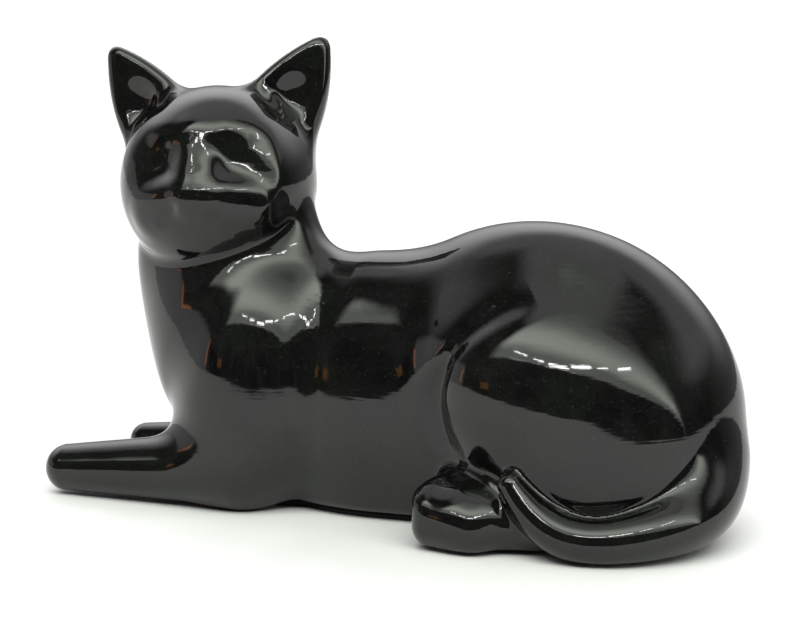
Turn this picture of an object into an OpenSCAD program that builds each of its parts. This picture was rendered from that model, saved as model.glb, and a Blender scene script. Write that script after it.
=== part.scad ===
// Lying cat figurine in glazed slip-cast earthenware.
// The clay pieces are luted together before firing: hollow body and head shells, ears,
// legs, feet and tail, closed from below by an inset base with a vent hole.
// The cat faces -X, its left side is -Y, and it stands on the plane z = 0.

/* [Clay] */
// Thickness of the cast clay walls
wall = 5; // [4:0.5:7]
// Height of the inset foot under the body
foot_h = 2.5; // [1.5:0.5:4]
// How far the foot is set in from the body's outline
foot_inset = 4; // [2:0.5:4.5]
// Thickness of the base plug inside the body
plug_h = 4; // [3:0.5:6]
// Diameter of the vent hole in the base
vent_d = 12; // [8:0.5:20]
// Distance of the vent hole behind the middle
vent_x = 30; // [20:1:80]

/* [Torso] */
// Distance of the chest's centre in front of the middle
chest_x = 80; // [78:0.5:84]
// Half width of the chest
chest_half_w = 37; // [34:0.5:40]
// Half length of the neck, from throat to nape
neck_half_l = 43; // [40:0.5:45]
// Half width of the neck
neck_half_w = 26; // [24:0.5:30]
// Height of the saddle behind the shoulders
saddle_z = 104; // [98:0.5:108]
// Height of the top of the rump
rump_top_z = 120; // [114:0.5:124]
// Half width across the haunches
haunch_half_w = 60; // [55:0.5:62]

/* [Head] */
// Radius of the head ball
head_r = 41; // [39:0.5:44]
// Height of the head's centre
head_z = 129; // [126:0.5:133]
// Turn of the face towards the cat's left, degrees
head_turn = 101; // [90:1:110]
// Upward tilt of the face, degrees
head_tilt = 10; // [4:1:16]
// Lean of the head towards its right shoulder, degrees
head_lean = 3.5; // [0:0.5:5]
// Length of an ear from its base line to its tip
ear_h = 34; // [28:0.5:38]

/* [Limbs] */
// Reach of the front paws in front of the middle
paw_reach = 156; // [146:1:160]
// Radius of a front paw
paw_r = 10; // [8:0.5:11]
// Radius of the tail where it leaves the rump
tail_root_r = 16; // [14:0.5:19]
// Radius of the tail's tip
tail_tip_r = 5; // [4:0.5:7]

/* [Hidden] */

GLAZE = "#1b1b1f";
BISQUE = "#d9cbb8";
LEFT = -1;
RIGHT = 1;
OUTER_FN = 40;    // facets round an outside surface
INNER_FN = 24;    // facets round a hidden inside surface
LIMB_FN = 32;     // facets round legs, feet, ears and tail
VENT_FN = 64;     // facets round the vent hole
CUT = 1;          // how far a cutter reaches past a face
FAR = 400;        // larger than the whole figurine

// Torso lumps: centre, radii, pitch about Y.
chest = [[-chest_x, 0, 66], [40, chest_half_w, 52], 0];
neck = [[-87, 0, 96], [neck_half_l, neck_half_w, 55], 0];
ribs = [[-14, 0, 42], [66, 39, saddle_z - 42], 0];
rump = [[50, 0, 49], [81, 43, rump_top_z - 49], 0];
bed_front = [[-80, 0, 18], [31, 31, 24], 0];
bed_rear = [[80, 0, 18], [46, 46, 24], 0];
shoulder = [[-62, 13, 47], [36, 33, 53], 0];
elbow = [[-64, 16, 30], [34, 31.5, 34], 0];
haunches = [[64, 0, 55], [68, haunch_half_w, 51], 18];
haunch_low_in = 3; // how much narrower the haunches are at the ground
haunches_low = [[74, 0, 30], [57, haunch_half_w - haunch_low_in, 44], 0];

// Head and what is on it, in the head's own frame: x towards its left ear, y up, z out of the face.
head_c = [-92, 0, head_z];
neck_hole_r = 21;
eye_c = [18, 7.5, 42.5];
eye_radii = [15, 8.5, 11];
eye_lean = -16;
brow = [0, 14, 25.5];
nose = [0, -7, 35.5];
brow_r = 10.5;
nose_r = 8;
muzzle_inner = [4, -7, 32.3];
muzzle_outer = [20, -9, 22.3];
muzzle_r = 9;
ear_inner = [16, 31, -4];
ear_outer = [38, 14, -6];
ear_side = [44, 36, -3];
ear_tip = [43, 22 + ear_h, -2];
ear_base_r = 5;
ear_side_r = 3.5;
ear_tip_r = 3;
cup_c = [33.5, 35, 6];
cup_radii = [9.5, 14, 8];
cup_lean = -29;

// Limbs.
leg_lift = 0.5;
leg_root = [-70, 31];
leg_root_r = 16;
paw_y = 35;
root_slim = 4;    // how much slimmer the right foreleg is at its root
paw_slim = 2.4;   // how much slimmer the right front paw is
heel = [80, 50, 11];
heel_r = 11;
ankle = [38, 55, 11.5];
ankle_r = 12;
toes_c = [36, 53, 14];
toes_half = [17, 15.5, 14];
toes_round = 9;
toes_yaw = 8;

// The tail's middle line, from the rump round the left haunch to the tip.
tail_knots = [[117, -6, 27], [120, -33, 14], [105, -52, 10], [83, -59.5, 9.5], [58, -59, 28]];
TAIL_STEPS = 3;

// A point on the smooth curve through four neighbouring knots.
function curve(a, b, c, d, t) =
    0.5 * (2 * b + (c - a) * t + (2 * a - 5 * b + 4 * c - d) * t * t + (3 * b - a - 3 * c + d) * t * t * t);
function knot(i) = tail_knots[max(0, min(len(tail_knots) - 1, i))];
tail_spans = len(tail_knots) - 1;
tail_line = [
    for (i = [0 : tail_spans - 1], s = [0 : TAIL_STEPS - 1])
        curve(knot(i - 1), knot(i), knot(i + 1), knot(i + 2), s / TAIL_STEPS),
    knot(tail_spans)
];
function tail_r(i) = tail_root_r + (tail_tip_r - tail_root_r) * i / (len(tail_line) - 1);

// An ellipsoid lump, drawn smaller all round by inset.
module lump(centre, radii, pitch = 0, inset = 0)
    translate(centre) rotate([0, pitch, 0]) scale([for (r = radii) r - inset]) sphere(r = 1);

// A round limb between two points.
module limb(from, to, r_from, r_to)
    hull() {
        translate(from) sphere(r = r_from);
        translate(to) sphere(r = r_to);
    }

module on_side(side) scale([1, side, 1]) children();

module on_head()
    translate(head_c) rotate([90 - head_tilt, 0, head_turn - 90]) rotate([0, 0, head_lean])
        children();

// The outside of the torso, or its cavity when inset by the wall.
module torso_form(inset, fn) {
    $fn = fn;
    lump(chest[0], chest[1], chest[2], inset);
    lump(neck[0], neck[1], neck[2], inset);
    hull() {
        lump(ribs[0], ribs[1], ribs[2], inset);
        lump(rump[0], rump[1], rump[2], inset);
    }
    hull() {
        lump(bed_front[0], bed_front[1], bed_front[2], inset);
        lump(bed_rear[0], bed_rear[1], bed_rear[2], inset);
    }
    for (side = [LEFT, RIGHT]) on_side(side) {
        lump(shoulder[0], shoulder[1], shoulder[2], inset);
        lump(elbow[0], elbow[1], elbow[2], inset);
    }
    lump(haunches[0], haunches[1], haunches[2], inset);
    lump(haunches_low[0], haunches_low[1], haunches_low[2], inset);
}

// Mirrors a feature of the face to the side asked for.
module on_face_side(side) scale([-side, 1, 1]) children();

module head_ball(inset, fn) on_head() sphere(r = head_r - inset, $fn = fn);

module slice_between(low, high) translate([-FAR / 2, -FAR / 2, low]) cube([FAR, FAR, high - low]);

// resize([0, 0, 0]) keeps the size and makes a piece one closed surface.
module one_surface() resize([0, 0, 0]) children();

module body_shell() {
    color(GLAZE) one_surface() difference() {
        torso_form(0, OUTER_FN);
        torso_form(wall, INNER_FN);
        head_ball(0, OUTER_FN);
        face_relief(OUTER_FN);
        slice_between(-FAR, foot_h);
    }
}

module base_plug() {
    color(BISQUE) difference() {
        one_surface() union() {
            intersection() {
                torso_form(foot_inset, INNER_FN);
                slice_between(0, foot_h);
            }
            intersection() {
                torso_form(wall, INNER_FN);
                slice_between(foot_h, foot_h + plug_h);
            }
        }
        translate([vent_x, 0, -CUT]) cylinder(d = vent_d, h = foot_h + plug_h + 2 * CUT, $fn = VENT_FN);
    }
}

// What stands out from the head ball: the bridge of the nose and the muzzle.
module face_relief(fn) on_head() {
    $fn = fn;
    limb(brow, nose, brow_r, nose_r);
    for (side = [LEFT, RIGHT]) on_face_side(side)
        limb(muzzle_inner, muzzle_outer, muzzle_r, muzzle_r);
}

// The outside of the head without its ears: ball with hollowed eyes, nose bridge and muzzle.
module head_form(fn) {
    $fn = fn;
    difference() {
        head_ball(0, fn);
        on_head() for (side = [LEFT, RIGHT]) on_face_side(side)
            translate(eye_c) rotate([0, 0, eye_lean]) scale(eye_radii) sphere(r = 1);
    }
    face_relief(fn);
}

module head_shell() {
    color(GLAZE) one_surface() difference() {
        head_form(OUTER_FN);
        head_ball(wall, INNER_FN);
        translate(head_c) rotate([180, 0, 0]) cylinder(r = neck_hole_r, h = FAR, $fn = INNER_FN);
    }
}

// One pointed ear, cupped on its front, cut to sit on the head ball.
module ear(side) {
    color(GLAZE) one_surface() difference() {
        on_head() on_face_side(side) difference() {
            hull() {
                translate(ear_inner) sphere(r = ear_base_r, $fn = LIMB_FN);
                translate(ear_outer) sphere(r = ear_base_r, $fn = LIMB_FN);
                translate(ear_side) sphere(r = ear_side_r, $fn = LIMB_FN);
                translate(ear_tip) sphere(r = ear_tip_r, $fn = LIMB_FN);
            }
            translate(cup_c) rotate([0, 0, cup_lean]) scale(cup_radii) sphere(r = 1, $fn = LIMB_FN);
        }
        head_ball(0, OUTER_FN);
    }
}

// A straight foreleg lying forward from the shoulder.
module foreleg(side) {
    root_r = leg_root_r - (side == RIGHT ? root_slim : 0);
    tip_r = paw_r - (side == RIGHT ? paw_slim : 0);
    root = [leg_root[0], leg_root[1], root_r];
    paw = [tip_r - paw_reach, paw_y, tip_r + leg_lift];
    color(GLAZE) one_surface() difference() {
        on_side(side) limb(root, paw, root_r, tip_r, $fn = LIMB_FN);
        torso_form(0, OUTER_FN);
        slice_between(-FAR, leg_lift);
    }
}

// A hind foot lying forward along the ground, ending in a rounded block of toes.
module hind_foot_form(side) on_side(side) {
    limb(heel, ankle, heel_r, ankle_r, $fn = LIMB_FN);
    translate(toes_c) rotate([0, 0, toes_yaw]) hull()
        for (i = [-1, 1], j = [-1, 1], k = [-1, 1])
            translate([for (n = [0 : len(toes_half) - 1]) [i, j, k][n] * (toes_half[n] - toes_round)])
                sphere(r = toes_round, $fn = LIMB_FN);
}

module hind_foot(side) {
    color(GLAZE) one_surface() difference() {
        hind_foot_form(side);
        torso_form(0, OUTER_FN);
        slice_between(-FAR, 0);
    }
}

module tail() {
    color(GLAZE) one_surface() difference() {
        for (i = [0 : len(tail_line) - 2])
            limb(tail_line[i], tail_line[i + 1], tail_r(i), tail_r(i + 1), $fn = LIMB_FN);
        torso_form(0, OUTER_FN);
        hind_foot_form(LEFT);
        slice_between(-FAR, 0);
    }
}

module ear_left() ear(LEFT);
module ear_right() ear(RIGHT);
module foreleg_left() foreleg(LEFT);
module foreleg_right() foreleg(RIGHT);
module hind_foot_left() hind_foot(LEFT);
module hind_foot_right() hind_foot(RIGHT);

body_shell();
base_plug();
head_shell();
ear_left();
ear_right();
foreleg_left();
foreleg_right();
hind_foot_left();
hind_foot_right();
tail();
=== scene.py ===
import math
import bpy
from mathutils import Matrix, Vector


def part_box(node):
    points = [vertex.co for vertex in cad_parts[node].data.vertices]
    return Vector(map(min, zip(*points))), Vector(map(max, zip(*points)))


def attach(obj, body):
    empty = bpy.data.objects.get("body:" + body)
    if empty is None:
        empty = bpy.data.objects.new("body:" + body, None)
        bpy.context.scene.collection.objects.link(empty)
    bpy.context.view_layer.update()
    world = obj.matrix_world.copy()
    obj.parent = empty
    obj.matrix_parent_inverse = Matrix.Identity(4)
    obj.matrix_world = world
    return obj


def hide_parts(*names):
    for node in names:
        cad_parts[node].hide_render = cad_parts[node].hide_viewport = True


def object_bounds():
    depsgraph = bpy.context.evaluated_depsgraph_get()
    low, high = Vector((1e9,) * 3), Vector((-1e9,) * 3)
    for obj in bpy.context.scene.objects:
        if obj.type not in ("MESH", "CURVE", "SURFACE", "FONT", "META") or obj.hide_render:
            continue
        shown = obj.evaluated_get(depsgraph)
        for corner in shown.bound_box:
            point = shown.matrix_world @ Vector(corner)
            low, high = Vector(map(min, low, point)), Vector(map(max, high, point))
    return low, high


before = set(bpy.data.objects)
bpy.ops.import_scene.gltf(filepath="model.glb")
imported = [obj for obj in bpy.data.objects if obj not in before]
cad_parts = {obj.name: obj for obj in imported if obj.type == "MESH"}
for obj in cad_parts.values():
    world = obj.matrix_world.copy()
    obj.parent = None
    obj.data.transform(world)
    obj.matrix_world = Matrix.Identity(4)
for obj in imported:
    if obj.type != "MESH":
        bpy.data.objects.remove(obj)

from concurrent.futures import ThreadPoolExecutor

import bpy
import numpy as np
from mathutils import Vector

# A lying cat in black glazed earthenware. The clay is described by one distance field in
# millimetres, negative inside the clay. The field is turned into one smooth surface, which is
# then cut along the luted joints, so that the glaze runs over them without a step.

MM = 0.001
CAD_LOW, CAD_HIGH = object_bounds()
STEP = 1.25    # grid spacing of the surface


# ---------------------------------------------------------------- places taken from the frame
def node_box(name):
    low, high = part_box(name)
    return np.array(low) / MM, np.array(high) / MM


BODY_LOW, _ = node_box("body_shell")
HEAD_LOW, HEAD_HIGH = node_box("head_shell")
BASE_LOW, BASE_HIGH = node_box("base_plug")
FOOT_H = BODY_LOW[2]

WALL = 5.0           # thickness of the cast clay
FOOT_INSET = 4.0     # how far the base is set in from the body's outline
BASE_LEVEL = 4.0     # height at which that outline is taken
CAVITY_H = 60        # height of the hollow inside the body
TABLE_GAP = 0.3      # how far the glazed underside stays clear of the table
VENT_X = 30.0
VENT_R = 6.0


# ---------------------------------------------------------------- distance fields
def vec(*v):
    return np.array(v, np.float32)


def turned(axis, degrees):
    """Rotation matrix about one axis."""
    c, s = math.cos(math.radians(degrees)), math.sin(math.radians(degrees))
    rows = {
        "x": [[1, 0, 0], [0, c, -s], [0, s, c]],
        "y": [[c, 0, s], [0, 1, 0], [-s, 0, c]],
        "z": [[c, -s, 0], [s, c, 0], [0, 0, 1]],
    }
    return np.array(rows[axis], np.float32)


def ball(p, centre, radii, turn=None):
    """An ellipsoid."""
    q = p - vec(*centre)
    if turn is not None:
        q = q @ turn
    a = q / vec(*radii)
    b = a / vec(*radii)
    near = np.sqrt((a * a).sum(1))
    return near * (near - 1) / (np.sqrt((b * b).sum(1)) + 1e-9)


def limb(p, start, end, r_start, r_end):
    """A round bar that tapers from start to end."""
    start, along = vec(*start), vec(*end) - vec(*start)
    t = np.clip((p - start) @ along / float(along @ along), 0, 1)
    q = p - start - t[:, None] * along
    return np.sqrt((q * q).sum(1)) - (r_start + (r_end - r_start) * t)


def block(p, centre, half, rounding, turn=None):
    """A box with rounded edges."""
    q = p - vec(*centre)
    if turn is not None:
        q = q @ turn
    a = np.abs(q) - (vec(*half) - rounding)
    over = np.maximum(a, 0)
    return np.sqrt((over * over).sum(1)) + np.minimum(a.max(1), 0) - rounding


def join(a, b, k):
    """Union with a fillet of size k."""
    h = np.maximum(k - np.abs(a - b), 0) / k
    return np.minimum(a, b) - h * h * k / 4


def carve(a, b, k):
    """a without b, with a rounded edge of size k."""
    return -join(-a, b, k)


def ease(x, low, high):
    t = np.clip((x - low) / (high - low), 0, 1)
    return t * t * (3 - 2 * t)


def curve(knots, n):
    """Points on the smooth curve through the knots, n to a span."""
    k = np.array(knots, float)
    k = np.vstack([2 * k[0] - k[1], k, 2 * k[-1] - k[-2]])
    out = []
    for a, b, c, d in zip(k[:-3], k[1:-2], k[2:-1], k[3:]):
        for t in np.arange(n) / n:
            out.append((2 * b + (c - a) * t + (2 * a - 5 * b + 4 * c - d) * t**2
                        + (3 * b - a - 3 * c + d) * t**3) / 2)
    out.append(k[-2])
    return np.array(out)


def valley(p, knots):
    """How far a soft valley sinks the surface. Knots are (x, y, z, width, depth)."""
    points = curve(knots, 4)
    nearest = np.full(len(p), 1e6, np.float32)
    sink = np.zeros(len(p), np.float32)
    for start, end in zip(points[:-1], points[1:]):
        low, along = vec(*start[:3]), vec(*(end[:3] - start[:3]))
        t = np.clip((p - low) @ along / float(along @ along), 0, 1)
        q = p - low - t[:, None] * along
        d2 = (q * q).sum(1)
        width = start[3] + (end[3] - start[3]) * t
        depth = start[4] + (end[4] - start[4]) * t
        sink = np.where(d2 < nearest, depth * np.exp(-d2 / width**2), sink)
        nearest = np.minimum(nearest, d2)
    return sink


# ---------------------------------------------------------------- the head
HEAD_R = (HEAD_HIGH[0] - HEAD_LOW[0]) / 2
HEAD_C = vec((HEAD_LOW[0] + HEAD_HIGH[0]) / 2, 0, HEAD_HIGH[2] - HEAD_R)
HEAD_TURN = 11
HEAD_TILT = 80
HEAD_LEAN = 3.5
HEAD_AXES = turned("z", HEAD_TURN) @ turned("x", HEAD_TILT) @ turned("z", HEAD_LEAN)
HEAD_FLATTER = 0.5    # how much flatter the ball is from crown to chin

# In head coordinates: the ears, the eye hollows, the bridge of the nose and the muzzle.
EAR_INNER_ARC = (74.5, -17, -4)
EAR_INNER_R = 82.5
EAR_OUTER_ARC = (-36, 52, -4)
EAR_OUTER_R = 84
EAR_ROOT_THICK = 5.6
EAR_TIP_THICK = 4.0
EAR_CUP = ((33.5, 34, 6.6), (9.5, 13, 8), turned("z", -29))
EYE_HOLLOW = ((18, 7.5, 42.5), (15, 8.5, 11), turned("z", -16))
BRIDGE = ((0, 14, 25.5), (0, -7, 35.5), 10.5, 8)
MUZZLE = ((4, -7.5, 32.3), (19, -12, 22.3), 9, 9.5)
MASK_DEPTH = 2.6      # how far the mask round the eyes lies inside the ball

# Soft valleys; knots are (x, y, z, width, depth).
EAR_CREASE = [(18, 37, 5, 3, 0), (23, 33.5, 8, 3.2, 2.5), (29, 28, 9, 3.2, 2.5), (34, 21, 10, 3, 0)]
MOUTH = [(-5, -8.5, 41, 2.5, 0), (-9, -12, 39, 2.5, 1), (-13, -15.5, 37, 3, 1), (-18, -18, 33, 3, 0)]


def in_head(p):
    """Head coordinates: x to the cat's left ear, y up, z out of the face."""
    return (p - HEAD_C) @ HEAD_AXES


def mirrored(q, axis=0, sign=1):
    m = q.copy()
    m[:, axis] = sign * np.abs(m[:, axis])
    return m


def ear_field(m):
    """A thick leaf between two arcs, hollowed in front."""
    inner_arc = ball(m, EAR_INNER_ARC, [EAR_INNER_R] * 3)
    outer_arc = ball(m, EAR_OUTER_ARC, [EAR_OUTER_R] * 3)
    leaf = carve(inner_arc, -outer_arc, 7)
    sheet = m[:, 2] + 3 + 0.18 * (m[:, 0] - 34) - 0.06 * (m[:, 1] - 38)
    thick = EAR_ROOT_THICK - (EAR_ROOT_THICK - EAR_TIP_THICK) * ease(m[:, 1], 28, 54)
    body = carve(leaf, thick - np.abs(sheet), 5)
    return carve(body, ball(m, *EAR_CUP), 3)


def face_relief(q, m):
    """How far the face lies inside the head's ball."""
    across = np.arctan2(m[:, 0], q[:, 2])
    reach = 1 - ease(across, 0.6, 0.95)
    v = q[:, 1]
    dish = MASK_DEPTH * ease(v, -7.5, 3) * (1 - ease(v, 12, 24))
    return dish * reach * ease(q[:, 2], 5, 15)


def ball_field(q):
    """The head without its ears."""
    m = mirrored(q)
    d = ball(q, (0, 0, 0), (HEAD_R, HEAD_R - HEAD_FLATTER, HEAD_R))
    d = d + face_relief(q, m)
    d = carve(d, ball(m, *EYE_HOLLOW), 6)
    d = join(d, limb(q, *BRIDGE), 5)
    d = join(d, limb(m, *MUZZLE), 5)
    return d + valley(m, EAR_CREASE) + valley(q, MOUTH)


# ---------------------------------------------------------------- the body
# Lumps of the torso: centre and radii. Those with a y of their own have a mirrored twin.
CHEST = ((-80, 0, 66), (40, 37, 52))
NECK = ((-87, 0, 96), (41.5, 25, 55))
RIBS = ((-14, 0, 42), (66, 39, 63))
SHOULDER = ((-65, -14, 50), (36, 34, 50))
ELBOW = ((-67, -16, 32), (34, 30.5, 34))
HAUNCHES = ((64, 0, 55), (68, 60, 51), turned("y", 18))
HAUNCHES_LOW = ((74, 0, 30), (57, 57, 44))
RUMP = ((50, 0, 49), (81, 43, 71.5))

# Limbs: start, end, radius at the start and at the end.
FORELEG_LEFT = ((-70, -31, 16), (-146, -35, 10.5), 16, 10)
FORELEG_RIGHT = ((-70, 31, 12), (-145, 33, 7.6), 12, 7.6)
SOLE = ((71, -49, 9.5), (38, -55, 11.5), 9, 12)
TOES = ((36, -53, 14), (17, 15.5, 14), 9, turned("z", -8))
TOES_SLOPE_AT = (37, -61, 22)
TOES_SLOPE_UP = (0.10, -0.55, 0.83)

# The tail's middle line and radius as one polynomial through the knots (x, y, z, radius).
TAIL_KNOTS = [(117, -6, 27, 18), (120, -32.5, 14.8, 12.8), (105, -52, 10, 9.4), (83, -59.5, 9.5, 8.4),
              (58, -59, 28, 5)]
TAIL_CURVE = np.polyfit(np.linspace(0, 1, len(TAIL_KNOTS)), TAIL_KNOTS, len(TAIL_KNOTS) - 1)
TAIL_LINE = TAIL_CURVE.T[:3]
TAIL_SLOPE = [np.polyder(c) for c in TAIL_LINE]
TAIL_BEND = [np.polyder(c) for c in TAIL_SLOPE]
TAIL_R = TAIL_CURVE.T[3]

# Soft valleys; knots are (x, y, z, width, depth).
SHOULDER_VALLEY = [(-35, -24, 100, 5, 0), (-37, -34, 88, 6, 3.4), (-38, -40, 70, 5.5, 3.2),
                   (-37, -42, 50, 4.5, 3.4), (-36, -42, 32, 4, 3), (-36, -42, 17, 4.5, 0)]
HAUNCH_VALLEY = [(60, -36, 96, 8, 0), (44, -40, 84, 7, 2.5), (30, -42, 70, 6, 4.5), (22, -42, 55, 5.5, 5.5),
                 (24, -45, 38, 5.5, 5), (33, -50, 28, 5, 0)]


def torso_field(p, m):
    """Chest, neck, ribs, rump, shoulders and haunches; m is p mirrored to the cat's left."""
    d = ball(p, *CHEST)
    d = join(d, ball(p, *NECK), 10)
    d = join(d, ball(p, *RIBS), 20)
    d = join(d, ball(m, *SHOULDER), 6)
    d = join(d, ball(m, *ELBOW), 8)
    haunches = join(ball(p, *HAUNCHES), ball(p, *HAUNCHES_LOW), 8)
    rump = join(ball(p, *RUMP), haunches, 8)
    return join(d, rump, 12)


def foreleg_field(p):
    """Both forelegs; the right one is slimmer and lies lower."""
    return np.minimum(limb(p, *FORELEG_LEFT), limb(p, *FORELEG_RIGHT))


def hind_foot_field(m):
    """A long sole that ends in a block of toes, cut away along a slope in front."""
    over_slope = (m - vec(*TOES_SLOPE_AT)) @ vec(*TOES_SLOPE_UP)
    toes = carve(block(m, *TOES), -over_slope, 5)
    return join(limb(m, *SOLE), toes, 6)


def along_tail(line, at):
    return np.stack([np.polyval(c, at) for c in line], 1)


def tail_field(p):
    """Distance to the tail: the nearest of some sample points, then a few Newton steps."""
    samples = 13
    longest = 0.05
    best = np.full(len(p), 1e9, np.float32)
    at = np.zeros(len(p), np.float32)
    for t in np.linspace(0, 1, samples):
        q = p - vec(*[np.polyval(c, t) for c in TAIL_LINE])
        d2 = (q * q).sum(1)
        at = np.where(d2 < best, np.float32(t), at)
        best = np.minimum(best, d2)
    for _ in range(3):
        q = p - along_tail(TAIL_LINE, at)
        v = along_tail(TAIL_SLOPE, at)
        w = along_tail(TAIL_BEND, at)
        down = (v * v).sum(1) - (q * w).sum(1)
        at = np.clip(at + np.clip((q * v).sum(1) / np.maximum(down, 1e3), -longest, longest), 0, 1)
    q = p - along_tail(TAIL_LINE, at)
    return np.sqrt((q * q).sum(1)) - np.polyval(TAIL_R, at)


def cat_field(p):
    """The whole figurine, flat underneath."""
    m = mirrored(p, 1, -1)
    over_table = p[:, 2] - TABLE_GAP
    d = torso_field(p, m)
    d = carve(d, p[:, 2] - FOOT_H, 4)
    d = join(d, carve(foreleg_field(p), over_table, 3), 13)
    d = join(d, carve(hind_foot_field(m), over_table, 3), 6)
    d = d + valley(m, SHOULDER_VALLEY)
    d = d + valley(m, HAUNCH_VALLEY)
    tail_fillet = 4 + 8 * ease(p[:, 0], 106, 128)
    d = join(d, carve(tail_field(p), over_table, 3), tail_fillet)
    d = carve(d, over_table, 1.5)
    q = in_head(p)
    head = join(ball_field(q), ear_field(mirrored(q)), 7)
    return join(d, head, 3)


def part_fields(p):
    """The clay pieces on their own, to find whose surface a point belongs to."""
    m = mirrored(p, 1, -1)
    q = in_head(p)
    h = mirrored(q)
    far = np.float32(1e3)
    left, right = p[:, 1] < 0, p[:, 1] >= 0
    ear = ear_field(h)
    foreleg = foreleg_field(p)
    hind = hind_foot_field(m)
    return {
        "body_shell": torso_field(p, m),
        "head_shell": ball_field(q),
        "ear_left": np.where(q[:, 0] > 0, ear, far),
        "ear_right": np.where(q[:, 0] <= 0, ear, far),
        "foreleg_left": np.where(left, foreleg, far),
        "foreleg_right": np.where(right, foreleg, far),
        "hind_foot_left": np.where(left, hind, far),
        "hind_foot_right": np.where(right, hind, far),
        "tail": tail_field(p),
    }


# ---------------------------------------------------------------- from field to surface
BLOCK = 8          # grid cells along the side of a block
CHUNK = 60000      # points worked out at a time
CORES = 4
SNAP = 0.3         # points nearer to a joint than this share of the grid's step move onto it


def evaluated(field, p):
    """The field at many points, worked out in chunks on all cores."""
    p = np.ascontiguousarray(p, np.float32)
    chunks = [p[i:i + CHUNK] for i in range(0, len(p), CHUNK)]
    with ThreadPoolExecutor(CORES) as pool:
        return np.concatenate(list(pool.map(field, chunks)))


def sampled(field, low, high, step):
    """Field values on a grid, worked out only in the blocks near the surface."""
    blocks = np.ceil((high - low) / (step * BLOCK)).astype(int)
    index = np.stack(np.meshgrid(*[np.arange(n) for n in blocks], indexing="ij"), -1).reshape(-1, 3)
    size = step * BLOCK
    reach = size * 1.15 + step
    centre_value = evaluated(field, low + (index + 0.5) * size)
    grid = np.sign(centre_value).reshape(blocks).astype(np.float32) * size
    for axis in range(3):
        grid = np.repeat(grid, BLOCK, axis=axis)
    near = index[np.abs(centre_value) < reach]
    offset = np.stack(np.meshgrid(*[np.arange(BLOCK)] * 3, indexing="ij"), -1).reshape(-1, 3)
    points = (near[:, None, :] * BLOCK + offset[None]).reshape(-1, 3)
    grid[tuple(points.T)] = evaluated(field, low + points * step)
    return grid


def surface_net(grid, low, step):
    """Vertices and quads of the grid's zero surface."""
    inside = grid < 0
    shape = np.array(grid.shape) - 1
    corners = [(i, j, k) for i in (0, 1) for j in (0, 1) for k in (0, 1)]
    count = np.zeros(shape, np.int8)
    for i, j, k in corners:
        count += inside[i:i + shape[0], j:j + shape[1], k:k + shape[2]]
    active = (count > 0) & (count < 8)
    cells = np.argwhere(active)
    number = np.full(shape, -1, np.int64)
    number[active] = np.arange(len(cells))
    total = np.zeros((len(cells), 3))
    hits = np.zeros(len(cells))
    for a in corners:
        for axis in range(3):
            if a[axis]:
                continue
            b = list(a)
            b[axis] = 1
            va = grid[tuple((cells + a).T)]
            vb = grid[tuple((cells + b).T)]
            cross = (va < 0) != (vb < 0)
            t = va[cross] / (va[cross] - vb[cross])
            point = np.array(a, float) + t[:, None] * (np.array(b) - a)
            total[cross] += point
            hits[cross] += 1
    verts = low + (cells + total / hits[:, None]) * step
    quads = []
    for axis in range(3):
        u, v = (axis + 1) % 3, (axis + 2) % 3
        first = [slice(1, -1)] * 3
        second = [slice(1, -1)] * 3
        first[axis], second[axis] = slice(0, -1), slice(1, None)
        a, b = inside[tuple(first)], inside[tuple(second)]
        for flag, flip in ((a & ~b, False), (~a & b, True)):
            at = np.argwhere(flag) + 1
            at[:, axis] -= 1
            ring = []
            for du, dv in ((-1, -1), (0, -1), (0, 0), (-1, 0)):
                c = at.copy()
                c[:, u] += du
                c[:, v] += dv
                ring.append(number[tuple(c.T)])
            quad = np.stack(ring, 1)
            quads.append(quad[:, ::-1] if flip else quad)
    return verts, np.concatenate(quads)


def gradient(field, p, h=0.2):
    """The field's slope, from four corners at a distance h."""
    k = np.array([[1, -1, -1], [-1, -1, 1], [-1, 1, -1], [1, 1, 1]], np.float32)
    total = 0
    for corner in k:
        total = total + corner * evaluated(field, p + corner * h)[:, None]
    return total / (4 * h)


def settled(field, p, rounds=3):
    """Moves points onto the field's zero surface."""
    p = p.copy()
    for _ in range(rounds):
        g = gradient(field, p)
        p -= evaluated(field, p)[:, None] * g / ((g * g).sum(1)[:, None] + 1e-9)
    return p


def relaxed(field, p, quads):
    """Evens out the quads, keeping the points on the surface."""
    total = np.zeros_like(p)
    count = np.zeros(len(p))
    for i in range(4):
        a, b = quads[:, i], quads[:, (i + 1) % 4]
        for one, other in ((a, b), (b, a)):
            np.add.at(total, one, p[other])
            np.add.at(count, one, 1)
    return settled(field, p + 0.5 * (total / count[:, None] - p), 2)


def triangles(p, quads):
    """Splits each quad along its shorter diagonal."""
    a, b, c, d = quads.T
    first = np.linalg.norm(p[a] - p[c], axis=1) < np.linalg.norm(p[b] - p[d], axis=1)
    one = np.where(first[:, None], np.stack([a, b, c], 1), np.stack([a, b, d], 1))
    two = np.where(first[:, None], np.stack([a, c, d], 1), np.stack([b, c, d], 1))
    return np.concatenate([one, two])


# ---------------------------------------------------------------- cutting along the joints
def on_joint(surface, joint, p):
    """Moves points onto the line where both fields are zero."""
    p = p.copy()
    for _ in range(3):
        for field in (joint, surface):
            g = gradient(field, p)
            if field is joint:
                n = gradient(surface, p)
                n /= np.linalg.norm(n, axis=1)[:, None] + 1e-9
                g = g - (g * n).sum(1)[:, None] * n
            p -= evaluated(field, p)[:, None] * g / ((g * g).sum(1)[:, None] + 1e-6)
    return p


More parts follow.
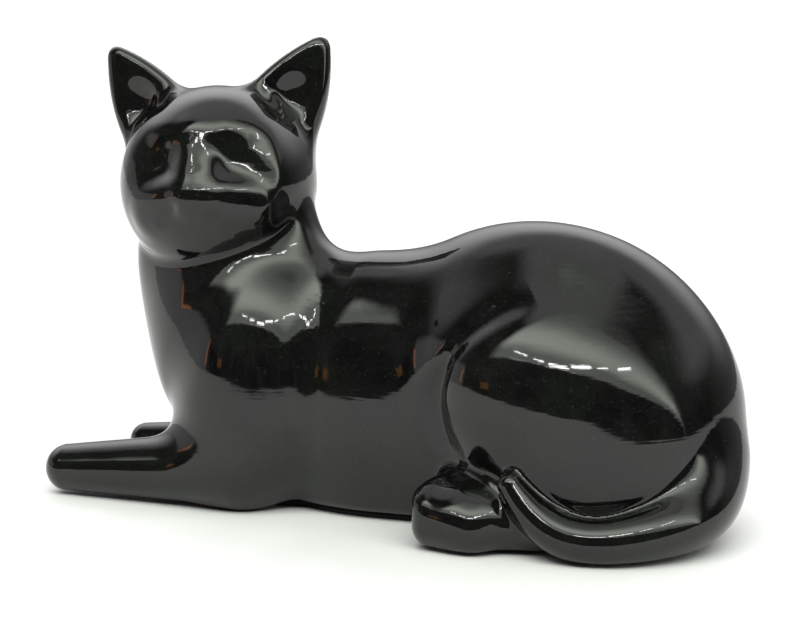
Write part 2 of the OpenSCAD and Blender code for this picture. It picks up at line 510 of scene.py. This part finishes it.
def cut(p, tris, joint, step):
    """Splits a mesh where the joint field is zero. Returns the points and both sides."""
    f = evaluated(joint, p)
    slope = np.linalg.norm(gradient(joint, p), axis=1) + 1e-6
    zero = (np.abs(f) / slope < SNAP * step) & touched(tris, f, len(p))
    if zero.any():
        p = p.copy()
        p[zero] = on_joint(cat_field, joint, p[zero])
    side = np.where(zero, 0, np.sign(f)).astype(int)
    s = side[tris]
    crossing = (s.min(1) < 0) & (s.max(1) > 0)
    whole = tris[~crossing]
    ws = side[whole].sum(1)
    low, high = [whole[ws < 0]], [whole[ws > 0]]
    flat = whole[ws == 0]
    if len(flat):
        middle = evaluated(joint, p[flat].mean(1))
        low.append(flat[middle < 0])
        high.append(flat[middle >= 0])
    split = tris[crossing]
    edges = np.concatenate([split[:, [0, 1]], split[:, [1, 2]], split[:, [2, 0]]])
    edges = edges[side[edges[:, 0]] * side[edges[:, 1]] < 0]
    keys, _ = np.unique(np.sort(edges, 1), axis=0, return_index=True)
    if len(keys):
        fa, fb = f[keys[:, 0]], f[keys[:, 1]]
        t = np.clip(fa / (fa - fb), SNAP / 2, 1 - SNAP / 2)
        new = p[keys[:, 0]] + t[:, None] * (p[keys[:, 1]] - p[keys[:, 0]])
        new = on_joint(cat_field, joint, new)
        lookup = {tuple(k): len(p) + i for i, k in enumerate(keys.tolist())}
        p = np.concatenate([p, new])
    extra_low, extra_high = [], []
    for tri in split.tolist():
        for n in range(3):
            a, b, c = tri[n], tri[(n + 1) % 3], tri[(n + 2) % 3]
            sa, sb, sc = side[a], side[b], side[c]
            if sa == 0:
                m = lookup[tuple(sorted((b, c)))]
                (extra_low if sb < 0 else extra_high).append([a, b, m])
                (extra_low if sc < 0 else extra_high).append([a, m, c])
                break
            if sb == sc and sa == -sb:
                ab, ac = lookup[tuple(sorted((a, b)))], lookup[tuple(sorted((a, c)))]
                (extra_low if sa < 0 else extra_high).append([a, ab, ac])
                rest = extra_low if sb < 0 else extra_high
                rest.append([ab, b, c])
                rest.append([ab, c, ac])
                break
    low = np.concatenate(low + [np.array(extra_low, int).reshape(-1, 3)])
    high = np.concatenate(high + [np.array(extra_high, int).reshape(-1, 3)])
    return p, low, high


def touched(tris, f, count):
    """Which points lie on a triangle that the joint crosses."""
    s = np.sign(f)[tris]
    mask = np.zeros(count, bool)
    mask[tris[(s.min(1) < 0) & (s.max(1) > 0)]] = True
    return mask


def rims(tris):
    """The open edges of a mesh, as closed rings of points."""
    edges = np.concatenate([tris[:, [0, 1]], tris[:, [1, 2]], tris[:, [2, 0]]])
    there = {tuple(e) for e in edges.tolist()}
    step_to = {a: b for a, b in there if (b, a) not in there}
    rings = []
    while step_to:
        start, at = next(iter(step_to.items()))
        ring = [start]
        del step_to[start]
        while at in step_to:
            ring.append(at)
            at = step_to.pop(at)
        rings.append(ring)
    return rings


def capped(p, tris, ring):
    """Closes a ring with a fan round its middle."""
    middle = len(p)
    p = np.concatenate([p, p[ring].mean(0)[None]])
    nxt = ring[1:] + ring[:1]
    fan = np.array([[b, a, middle] for a, b in zip(ring, nxt)])
    return p, np.concatenate([tris, fan])


def domed(p, tris, ring, height, rings=8):
    """Closes the ring of the open base with the hollow inside of the body."""
    loop = p[ring]
    middle = loop.mean(0)
    last = np.array(ring)
    for i in range(1, rings):
        angle = math.pi / 2 * i / rings
        row = middle + (loop - middle) * math.cos(angle) + [0, 0, height * math.sin(angle)]
        new = len(p) + np.arange(len(ring))
        p = np.concatenate([p, row])
        a, b = last, np.roll(last, -1)
        c, d = new, np.roll(new, -1)
        tris = np.concatenate([tris, np.stack([b, a, c], 1), np.stack([b, c, d], 1)])
        last = new
    top = len(p)
    p = np.concatenate([p, (middle + [0, 0, height])[None]])
    fan = np.stack([np.roll(last, -1), last, np.full(len(ring), top)], 1)
    return p, np.concatenate([tris, fan])


def opening_field(p):
    """Negative where the body is open towards the base."""
    level = p.copy()
    level[:, 2] = BASE_LEVEL
    m = mirrored(level, 1, -1)
    return np.maximum(torso_field(level, m) + WALL, (p[:, 2] - FOOT_H - 3))


def make_piece(name, p, tris, normals_from, material, replaced, hidden_from=0):
    """A Blender object from a mesh in millimetres; points from hidden_from on are inside the clay."""
    used, tris = np.unique(tris, return_inverse=True)
    tris = tris.reshape(-1, 3)
    co = p[used]
    mesh = bpy.data.meshes.new(name)
    mesh.vertices.add(len(co))
    mesh.vertices.foreach_set("co", (co * MM).astype(np.float32).ravel())
    mesh.loops.add(tris.size)
    mesh.loops.foreach_set("vertex_index", tris.astype(np.int32).ravel())
    mesh.polygons.add(len(tris))
    mesh.polygons.foreach_set("loop_start", np.arange(0, tris.size, 3, dtype=np.int32))
    mesh.polygons.foreach_set("use_smooth", np.ones(len(tris), bool))
    mesh.update(calc_edges=True)
    mesh.validate()
    if normals_from is not None:
        n = gradient(normals_from, co)
        n /= np.linalg.norm(n, axis=1)[:, None] + 1e-9
        n[used >= hidden_from] = 0
        mesh.normals_split_custom_set_from_vertices(n.astype(np.float32))
    obj = bpy.data.objects.new(name, mesh)
    bpy.context.scene.collection.objects.link(obj)
    mesh.materials.append(material)
    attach(obj, "root")
    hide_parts(*replaced)
    return obj


# ---------------------------------------------------------------- materials
class Shader:
    """A small helper to lay out one procedural material."""

    def __init__(self, name):
        self.material = bpy.data.materials.new(name)
        self.material.use_nodes = True
        self.tree = self.material.node_tree
        self.tree.nodes.clear()
        out = self.node("ShaderNodeOutputMaterial")
        self.bsdf = self.node("ShaderNodeBsdfPrincipled")
        self.link(self.bsdf.outputs[0], out.inputs[0])
        self.place = self.node("ShaderNodeTexCoord").outputs["Object"]

    def node(self, kind):
        return self.tree.nodes.new(kind)

    def link(self, a, b):
        self.tree.links.new(a, b)

    def noise(self, scale, detail=2.0, stretch=(1, 1, 1), rough=0.5):
        """Noise from 0 to 1, scale in patches to a metre."""
        mapping = self.node("ShaderNodeMapping")
        mapping.inputs["Scale"].default_value = stretch
        self.link(self.place, mapping.inputs[0])
        noise = self.node("ShaderNodeTexNoise")
        noise.inputs["Scale"].default_value = scale
        noise.inputs["Detail"].default_value = detail
        noise.inputs["Roughness"].default_value = rough
        self.link(mapping.outputs[0], noise.inputs["Vector"])
        return noise.outputs[0]

    def spread(self, value, low, high, to_low, to_high):
        """Maps low..high of a value onto to_low..to_high with soft ends."""
        ramp = self.node("ShaderNodeMapRange")
        ramp.interpolation_type = "SMOOTHSTEP"
        for name, number in zip(("From Min", "From Max", "To Min", "To Max"), (low, high, to_low, to_high)):
            ramp.inputs[name].default_value = number
        self.link(value, ramp.inputs["Value"])
        return ramp.outputs[0]

    def blend(self, factor, first, second):
        """A colour between two colours or colour outputs."""
        mix = self.node("ShaderNodeMix")
        mix.data_type = "RGBA"
        self.link(factor, mix.inputs[0])
        for value, socket in ((first, mix.inputs[6]), (second, mix.inputs[7])):
            if isinstance(value, tuple):
                socket.default_value = value
            else:
                self.link(value, socket)
        return mix.outputs[2]

    def height(self, part, into):
        """Takes the z of the place, from part at 0 to into at 1."""
        split = self.node("ShaderNodeSeparateXYZ")
        self.link(self.place, split.inputs[0])
        return self.spread(split.outputs["Z"], part, into, 0, 1)

    def bump(self, layers):
        """Stacks bumps given as (height output, depth in metres)."""
        normal = None
        for value, depth in layers:
            bump = self.node("ShaderNodeBump")
            bump.inputs["Strength"].default_value = 1
            bump.inputs["Distance"].default_value = depth
            self.link(value, bump.inputs["Height"])
            if normal is not None:
                self.link(normal, bump.inputs["Normal"])
            normal = bump.outputs[0]
        self.link(normal, self.bsdf.inputs["Normal"])


def glaze():
    """Glossy black glaze, brushed on, with fine pale specks."""
    s = Shader("black_glaze")
    thick = (0.0030, 0.0030, 0.0031, 1)
    thin = (0.0055, 0.0062, 0.0052, 1)
    pale = (0.05, 0.06, 0.05, 1)
    body = s.blend(s.spread(s.noise(45, 3), 0.35, 0.65, 0, 1), thick, thin)
    speck = s.spread(s.noise(2600, 0), 0.76, 0.84, 0, 1)
    s.link(s.blend(speck, body, pale), s.bsdf.inputs["Base Color"])
    s.link(s.spread(s.noise(60, 4), 0.3, 0.7, 0.03, 0.075), s.bsdf.inputs["Roughness"])
    s.bsdf.inputs["IOR"].default_value = 1.5
    s.bump([
        (s.noise(38, 1), 0.00035),
        (s.noise(120, 2), 0.00004),
        (s.noise(30, 3, (1, 1, 26)), 0.000018),
        (s.noise(1500, 1), 0.0000012),
    ])
    return s.material


def bare_clay():
    """Unglazed clay underneath; its sides are painted near black from 0.2 mm up, as painted shade for the
    shadowed gap under the body.
    """
    s = Shader("bare_clay")
    dark_clay = (0.42, 0.31, 0.22, 1)
    light_clay = (0.56, 0.44, 0.33, 1)
    grit_brown = (0.20, 0.13, 0.09, 1)
    # painted shade: near black on the base's sides, standing in for the shadowed gap under the body
    black = (0.006, 0.006, 0.006, 1)
    clay = s.blend(s.spread(s.noise(35, 4), 0.3, 0.7, 0, 1), dark_clay, light_clay)
    grit = s.spread(s.noise(1400, 1), 0.66, 0.78, 0, 1)
    clay = s.blend(grit, clay, grit_brown)
    # mask of the painted shade: 0 on the underside, rising to 1 at 0.2 mm up the base's sides
    edge = s.height(0.00005, 0.0002)
    s.link(s.blend(edge, clay, black), s.bsdf.inputs["Base Color"])
    s.link(s.spread(edge, 0, 1, 0.85, 0.6), s.bsdf.inputs["Roughness"])
    s.bsdf.inputs["Specular IOR Level"].default_value = 0.25
    s.bump([
        (s.noise(26, 3, (1, 14, 1)), 0.00012),
        (s.noise(900, 3), 0.00005),
    ])
    return s.material


def pale_floor():
    """A matt white table top."""
    s = Shader("pale_floor")
    white = (0.82, 0.81, 0.83, 1)
    whiter = (0.85, 0.84, 0.855, 1)
    s.link(s.blend(s.noise(9, 3), white, whiter), s.bsdf.inputs["Base Color"])
    s.link(s.spread(s.noise(30, 2), 0.3, 0.7, 0.55, 0.7), s.bsdf.inputs["Roughness"])
    return s.material


GLAZE = glaze()
CLAY_AND_PAINTED_SHADE = bare_clay()


# ---------------------------------------------------------------- the figurine
def build_cat():
    """One surface for the whole cat, cut into the glazed pieces, each closed by itself."""
    margin = 6
    base_length = 100
    base_rise = 6
    low = np.array(CAD_LOW) / MM - margin
    high = np.array(CAD_HIGH) / MM + margin
    grid = sampled(cat_field, low, high, STEP)
    p, quads = surface_net(grid, low, STEP)
    p = settled(cat_field, p)
    p = relaxed(cat_field, p, quads)
    p = relaxed(cat_field, p, quads)
    rest = triangles(p, quads)
    pieces = {}
    order = ["ear_left", "ear_right", "head_shell", "tail", "foreleg_left", "foreleg_right",
             "hind_foot_left", "hind_foot_right"]
    for i, name in enumerate(order):
        def joint(x, name=name, gone=order[:i]):
            fields = part_fields(x)
            mine = fields.pop(name)
            return mine - np.minimum.reduce([f for other, f in fields.items() if other not in gone])
        p, pieces[name], rest = cut(p, rest, joint, STEP)
    p, _, pieces["body_shell"] = cut(p, rest, opening_field, STEP)
    for name, tris in pieces.items():
        own = p
        for ring in rims(tris):
            spread = np.ptp(p[ring], axis=0)
            if name == "body_shell" and spread[2] < base_rise and spread[0] > base_length:
                own, tris = domed(own, tris, ring, CAVITY_H)
            else:
                own, tris = capped(own, tris, ring)
        make_piece(name + "_clay", own, tris, cat_field, GLAZE, [name], len(p))


def build_base():
    """The inset base: a foot plate with the vent hole, flat on the table."""
    sides = 240
    longest = 180.0
    halvings = 24
    edge = 0.8
    plug_inset = 4
    angles = np.linspace(0, 2 * math.pi, sides, endpoint=False)
    ray = np.stack([np.cos(angles), np.sin(angles)], 1)
    middle = np.array([(BASE_LOW[0] + BASE_HIGH[0]) / 2, 0])
    near = np.zeros(sides)
    far = np.full(sides, longest)
    for _ in range(halvings):
        r = (near + far) / 2
        xy = middle + ray * r[:, None]
        q = np.column_stack([xy, np.full(len(xy), BASE_LEVEL)]).astype(np.float32)
        out = torso_field(q, mirrored(q, 1, -1)) + FOOT_INSET > 0
        far = np.where(out, r, far)
        near = np.where(out, near, r)
    outline = middle + ray * near[:, None]
    hole = np.array([VENT_X, 0]) + ray * VENT_R
    inner = middle + ray * (near - edge)[:, None]
    plug = middle + ray * (near - plug_inset)[:, None]
    profile = [(hole, BASE_HIGH[2]), (hole, edge * 0.6), (hole + ray * edge * 0.6, 0)]
    profile += [(hole + (inner - hole) * t, 0) for t in np.linspace(0.05, 0.95, 10)]
    profile += [(inner, 0), (inner + ray * edge * 0.7, edge * 0.3), (outline, edge), (outline, FOOT_H)]
    profile += [(plug, FOOT_H + 0.2), (plug, BASE_HIGH[2])]
    rows = [np.column_stack([xy, np.full(len(xy), z)]) for xy, z in profile]
    p = np.concatenate(rows)
    n = len(angles)
    tris = []
    for i in range(len(rows)):
        a = i * n + np.arange(n)
        b = i * n + (np.arange(n) + 1) % n
        j = (i + 1) % len(rows)
        c = j * n + np.arange(n)
        d = j * n + (np.arange(n) + 1) % n
        tris += [np.stack([a, b, c], 1), np.stack([b, d, c], 1)]
    make_piece("base_plug_clay", p, np.concatenate(tris), None, CLAY_AND_PAINTED_SHADE, ["base_plug"])


# ---------------------------------------------------------------- floor, lights and camera
CAMERA_AZIMUTH = 22
CAMERA_ELEVATION = 10.5
CAMERA_DISTANCE = 1.0
CAMERA_TARGET = Vector((0, -0.027, 0.085))
FOCAL_WIDTHS = 2530 / 800    # focal length in widths of the frame
SENSOR = 36
LAMP_AIM = Vector((0, 0, 0.09))
WARM = (1, 0.30, 0.05)
WARM_PALE = (1, 0.38, 0.08)


def towards(azimuth, elevation):
    """Unit vector; azimuth 0 is the cat's left side, 90 its rear."""
    a, e = math.radians(azimuth), math.radians(elevation)
    return Vector((math.sin(a) * math.cos(e), -math.cos(a) * math.cos(e), math.sin(e)))


def build_floor():
    """A white table top that ends in front of the cat, square to the camera."""
    forward = towards(CAMERA_AZIMUTH, 0)
    along = Vector((-forward.y, forward.x, 0))
    front = 0.62
    back = 3.2
    half = 2.6
    corners = [forward * front - along * half, forward * front + along * half,
               -forward * back + along * half, -forward * back - along * half]
    mesh = bpy.data.meshes.new("floor")
    mesh.from_pydata([tuple(c) for c in corners], [], [(0, 1, 2, 3)])
    mesh.materials.append(pale_floor())
    floor = bpy.data.objects.new("floor", mesh)
    bpy.context.scene.collection.objects.link(floor)


def lamp(name, azimuth, elevation, width, height, radiance, colour=(1, 1, 1), distance=2.0):
    """A flat lamp seen from the cat in the given direction; width and height in degrees."""
    data = bpy.data.lights.new(name, "AREA")
    data.shape = "RECTANGLE"
    data.size = 2 * distance * math.tan(math.radians(width / 2))
    data.size_y = 2 * distance * math.tan(math.radians(height / 2))
    data.energy = math.pi * data.size * data.size_y * radiance
    data.color = colour
    light = bpy.data.objects.new(name, data)
    light.location = LAMP_AIM + towards(azimuth, elevation) * distance
    light.rotation_euler = towards(azimuth, elevation).to_track_quat("Z", "Y").to_euler()
    light.visible_camera = False
    bpy.context.scene.collection.objects.link(light)


def build_lights():
    """Short ceiling tubes at the near edge of the bright ceiling, and two warm glints."""
    tube_radiance = 32
    tubes = [(-22, 43, 8, 1.0), (-6, 41.8, 7, 1.2), (10, 40.4, 10, 1.7), (27, 42.6, 12, 2.3),
             (44, 41.8, 7, 1.2), (62, 40.6, 8, 1.0)]
    for i, (azimuth, elevation, width, height) in enumerate(tubes):
        lamp("tube_%d" % i, azimuth, elevation, width, height, tube_radiance)
    lamp("long_tube", -2, 38.5, 44, 0.35, 7)
    lamp("warm_left", -63, 7, 2.2, 12, 2, WARM)
    lamp("warm_front", -42, 5, 6, 5, 1.0, WARM_PALE)


def build_world():
    """A white backdrop behind and to the sides, a dark room in front, a bright ceiling."""
    world = bpy.data.worlds.new("room")
    bpy.context.scene.world = world
    world.use_nodes = True
    tree = world.node_tree
    tree.nodes.clear()
    new, link = tree.nodes.new, tree.links.new

    def spread(value, low, high, to_low=0, to_high=1):
        ramp = new("ShaderNodeMapRange")
        ramp.interpolation_type = "SMOOTHSTEP"
        for name, number in zip(("From Min", "From Max", "To Min", "To Max"), (low, high, to_low, to_high)):
            ramp.inputs[name].default_value = number
        link(value, ramp.inputs["Value"])
        return ramp.outputs[0]

    def maths(operation, a, b):
        node = new("ShaderNodeMath")
        node.operation = operation
        for value, socket in ((a, node.inputs[0]), (b, node.inputs[1])):
            if isinstance(value, (int, float)):
                socket.default_value = value
            else:
                link(value, socket)
        return node.outputs[0]

    where = new("ShaderNodeTexCoord").outputs["Generated"]
    split = new("ShaderNodeSeparateXYZ")
    link(where, split.inputs[0])
    _, y, z = split.outputs

    def facing(azimuth, low, high, to_low=0, to_high=1):
        """Grows from low to high as the direction turns towards an azimuth."""
        dot = new("ShaderNodeVectorMath")
        dot.operation = "DOT_PRODUCT"
        link(where, dot.inputs[0])
        dot.inputs[1].default_value = towards(azimuth, 0)
        return spread(dot.outputs["Value"], low, high, to_low, to_high)

    backdrop = maths("MULTIPLY", facing(-165, -0.1, 0.65), spread(z, 0.1, 0.7, 0.3, 2.5))
    backdrop = maths("MULTIPLY", backdrop, spread(z, 0.72, 0.95, 1, 0.3))
    rear = maths("MULTIPLY", facing(-175, -0.06, 0.12), spread(z, 0.25, 0.5, 0, 0.9))
    card = maths("MULTIPLY", facing(-105, 0.70, 0.76), spread(z, 0.24, 0.36, 0.65, 0))
    overhead = spread(z, 0.90, 0.97, 0, 0.95)
    depth = maths("DIVIDE", y, maths("MAXIMUM", z, 0.02))
    near = spread(depth, -1.26, -1.14, 0, 1)
    glow = maths("MULTIPLY", spread(depth, -0.92, -0.55, 1.7, 4.9), spread(depth, -0.5, -0.1, 1, 0.33))
    sides = maths("MULTIPLY", facing(47, -0.1, 0.04), facing(0, -0.02, 0.12))
    glow = maths("MULTIPLY", glow, facing(-20, 0.1, 0.72, 0.9, 1.15))
    ceiling = maths("MULTIPLY", maths("MULTIPLY", near, glow), sides)
    walls = maths("MAXIMUM", maths("MAXIMUM", backdrop, rear), card)
    light = maths("MAXIMUM", walls, maths("MAXIMUM", overhead, ceiling))
    cloud = new("ShaderNodeTexNoise")
    cloud.inputs["Scale"].default_value = 5
    cloud.inputs["Detail"].default_value = 3
    link(where, cloud.inputs["Vector"])
    dark = spread(cloud.outputs[0], 0.35, 0.7, 0.02, 0.11)
    light = maths("MAXIMUM", light, dark)
    room = new("ShaderNodeBackground")
    tint = new("ShaderNodeMix")
    tint.data_type = "RGBA"
    link(ceiling, tint.inputs[0])
    tint.inputs[6].default_value = (1.0, 0.995, 1.0, 1)
    tint.inputs[7].default_value = (0.93, 1.0, 0.88, 1)
    link(tint.outputs[2], room.inputs["Color"])
    link(light, room.inputs["Strength"])
    white = new("ShaderNodeBackground")
    white.inputs["Strength"].default_value = 1.6
    mix = new("ShaderNodeMixShader")
    link(new("ShaderNodeLightPath").outputs["Is Camera Ray"], mix.inputs[0])
    link(room.outputs[0], mix.inputs[1])
    link(white.outputs[0], mix.inputs[2])
    link(mix.outputs[0], new("ShaderNodeOutputWorld").inputs[0])


def build_camera():
    back = towards(CAMERA_AZIMUTH, CAMERA_ELEVATION)
    data = bpy.data.cameras.new("camera")
    data.sensor_width = SENSOR
    data.lens = FOCAL_WIDTHS * data.sensor_width
    camera = bpy.data.objects.new("camera", data)
    camera.location = CAMERA_TARGET + back * CAMERA_DISTANCE
    camera.rotation_euler = (-back).to_track_quat("-Z", "Y").to_euler()
    bpy.context.scene.collection.objects.link(camera)
    bpy.context.scene.camera = camera


build_cat()
build_base()
build_floor()
build_lights()
build_world()
build_camera()
bpy.context.scene.view_settings.view_transform = "Standard"
